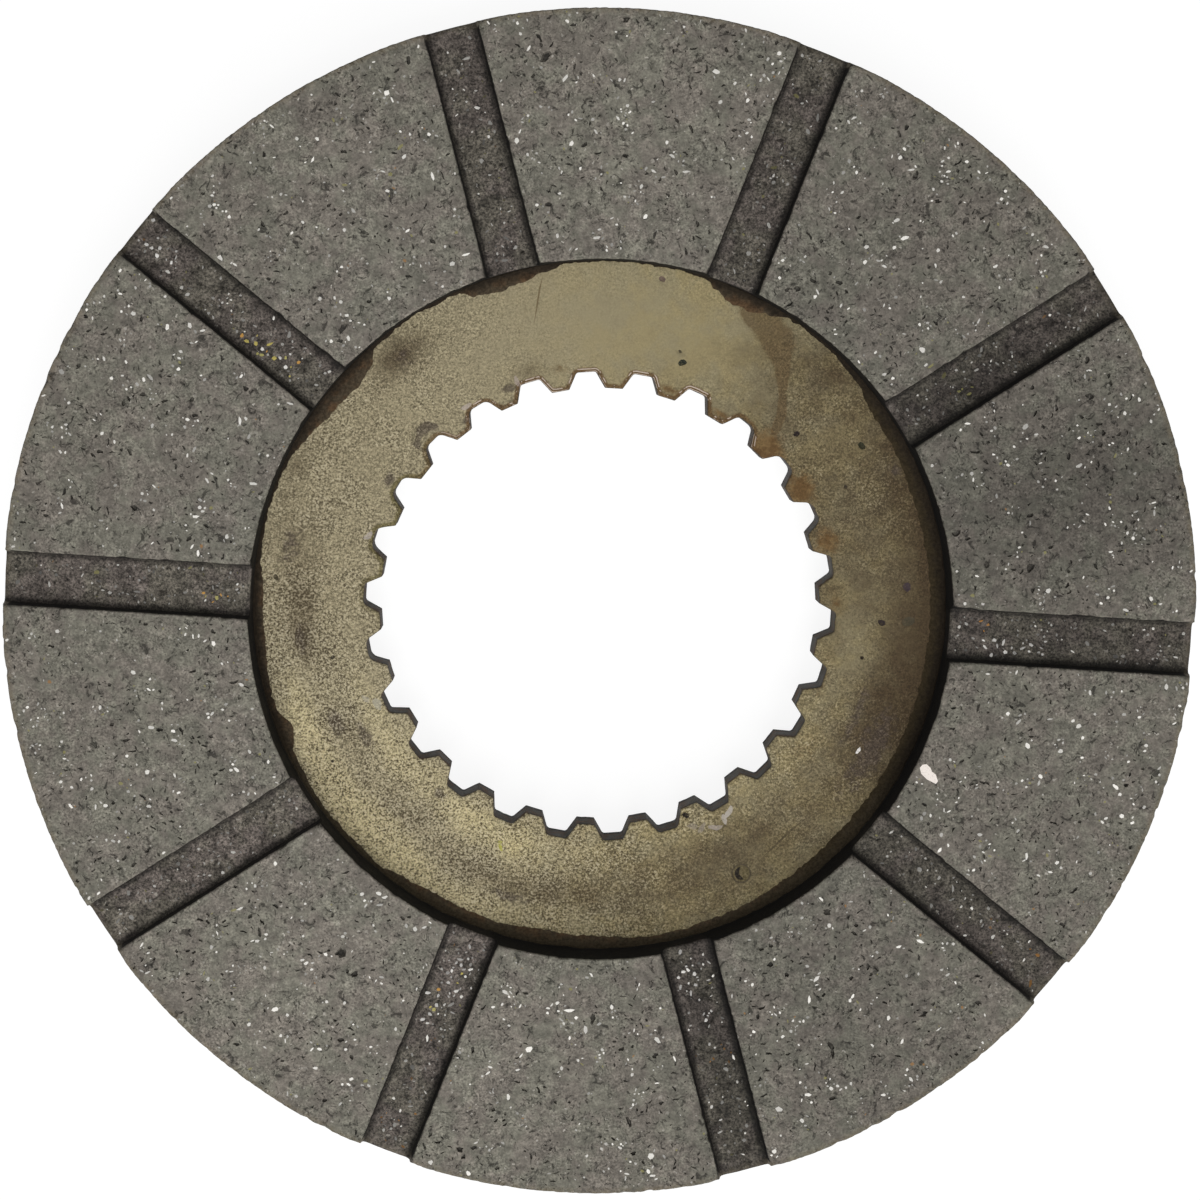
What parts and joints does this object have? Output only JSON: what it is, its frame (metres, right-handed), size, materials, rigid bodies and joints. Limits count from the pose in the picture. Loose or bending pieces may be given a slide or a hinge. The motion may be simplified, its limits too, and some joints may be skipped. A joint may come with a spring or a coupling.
{
  "type": "brake disc",
  "caption": "Dry brake friction disc: a splined steel core plate with a grooved friction lining bonded to each face.",
  "frame": {"origin": "centre of the steel plate, on the disc's axis, half way between the two friction faces", "axes": "+Z along the disc's axis towards the front lining, +X along the middle of one groove and of one spline space"},
  "size_m": [0.178, 0.178, 0.018],
  "materials": {
    "steel_core": "blasted mild steel, stained olive brown, with light rust on the spline teeth",
    "friction_lining": "moulded resin and fibre friction material, ground flat, with pale flecks and small dark pits",
    "adhesive": "cured brown bonding film with an uneven squeezed-out edge"
  },
  "bodies": {
    "root": {"core_plate": "steel_core", "front_adhesive": "adhesive", "front_lining": "friction_lining", "rear_adhesive": "adhesive", "rear_lining": "friction_lining"}
  },
  "joints": []
}
